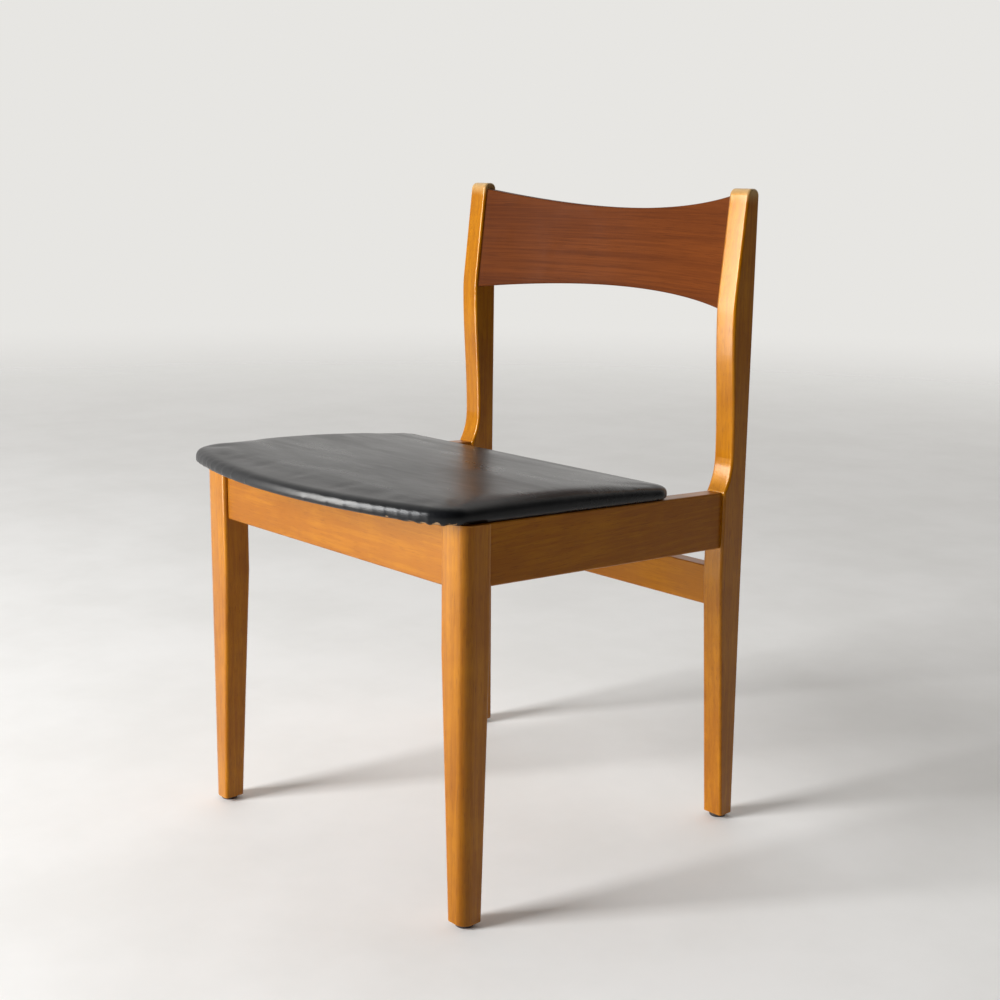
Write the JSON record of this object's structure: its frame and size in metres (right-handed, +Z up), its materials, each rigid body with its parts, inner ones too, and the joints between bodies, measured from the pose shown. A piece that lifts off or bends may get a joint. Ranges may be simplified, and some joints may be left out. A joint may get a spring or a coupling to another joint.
{
  "type": "dining chair",
  "caption": "Wooden dining chair with a bent low backrest between shaped posts, a padded black seat on sloping rails and four tapered legs.",
  "frame": {"origin": "on the floor, midway across the chair and midway between the cushion's front edge and the backrest's rear", "axes": "+Z up, the sitter faces -Y, +X to the right as seen from the front"},
  "size_m": [0.46, 0.5351, 0.74],
  "materials": {
    "frame_wood": "clear gloss lacquer over honey-coloured beech, slightly worn at the edges",
    "teak_veneer": "satin lacquered teak veneer, grain running across the chair",
    "plywood": "laminated beech plies, sanded edges",
    "bare_wood": "unfinished beech",
    "vinyl": "smooth black vinyl upholstery cloth, satin, with a fine grain",
    "foam": "open-cell upholstery foam, matt",
    "steel": "zinc plated steel, slightly dull",
    "glide_plastic": "dark brown moulded plastic, scuffed underneath"
  },
  "bodies": {
    "root": {"front_leg_left": "frame_wood", "front_leg_right": "frame_wood", "rear_post_left": "frame_wood", "rear_post_right": "frame_wood", "front_rail": "frame_wood", "side_rail_left": "frame_wood", "side_rail_right": "frame_wood", "rear_rail": "frame_wood", "seat_bearer": "bare_wood", "corner_block_left": "bare_wood", "corner_block_right": "bare_wood", "backrest_front_veneer": "teak_veneer", "backrest_rear_veneer": "teak_veneer", "backrest_core": "plywood", "seat_board": "plywood", "seat_foam": "foam", "seat_cover": "vinyl", "seat_staples": "steel", "seat_screws": "steel", "corner_block_screws": "steel", "glide_nails": "steel", "front_rail_dowels": "bare_wood", "side_rail_front_dowels": "bare_wood", "side_rail_rear_dowels": "bare_wood", "rear_rail_dowels": "bare_wood", "bearer_dowels": "bare_wood", "backrest_dowels": "bare_wood", "glide_front_left": "glide_plastic", "glide_front_right": "glide_plastic", "glide_rear_left": "glide_plastic", "glide_rear_right": "glide_plastic"}
  },
  "joints": []
}
